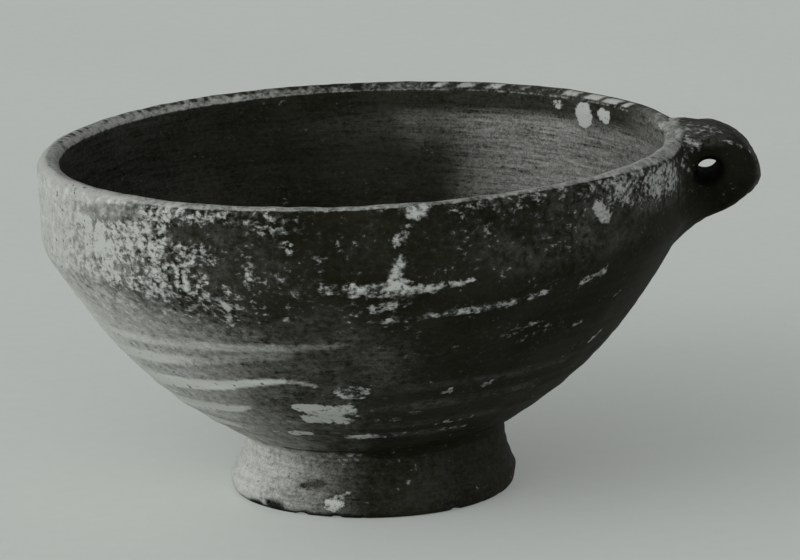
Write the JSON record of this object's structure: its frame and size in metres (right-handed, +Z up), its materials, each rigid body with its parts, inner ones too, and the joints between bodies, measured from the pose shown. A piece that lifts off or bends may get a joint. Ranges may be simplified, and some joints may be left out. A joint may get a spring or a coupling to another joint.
{
  "type": "handled pottery cup",
  "caption": "Footed clay cup: an open bowl with an upright rim wall on a flaring ring foot, and a lug handle at the rim pierced for a cord.",
  "frame": {"origin": "on the ground, under the middle of the cup's whole outline with its lug", "axes": "+Z up out of the bowl's mouth, +X towards the lug handle, +Y along the cord hole"},
  "size_m": [0.1522, 0.136, 0.0766],
  "materials": {
    "dark_slip": "worn dark slip, half matt",
    "bare_clay": "bare fired clay, matt",
    "luting_clay": "bare fired clay, matt"
  },
  "bodies": {
    "root": {"bowl": "dark_slip", "ring_foot": "bare_clay", "lug_handle": "dark_slip", "foot_luting": "luting_clay", "handle_luting": "luting_clay"}
  },
  "joints": []
}
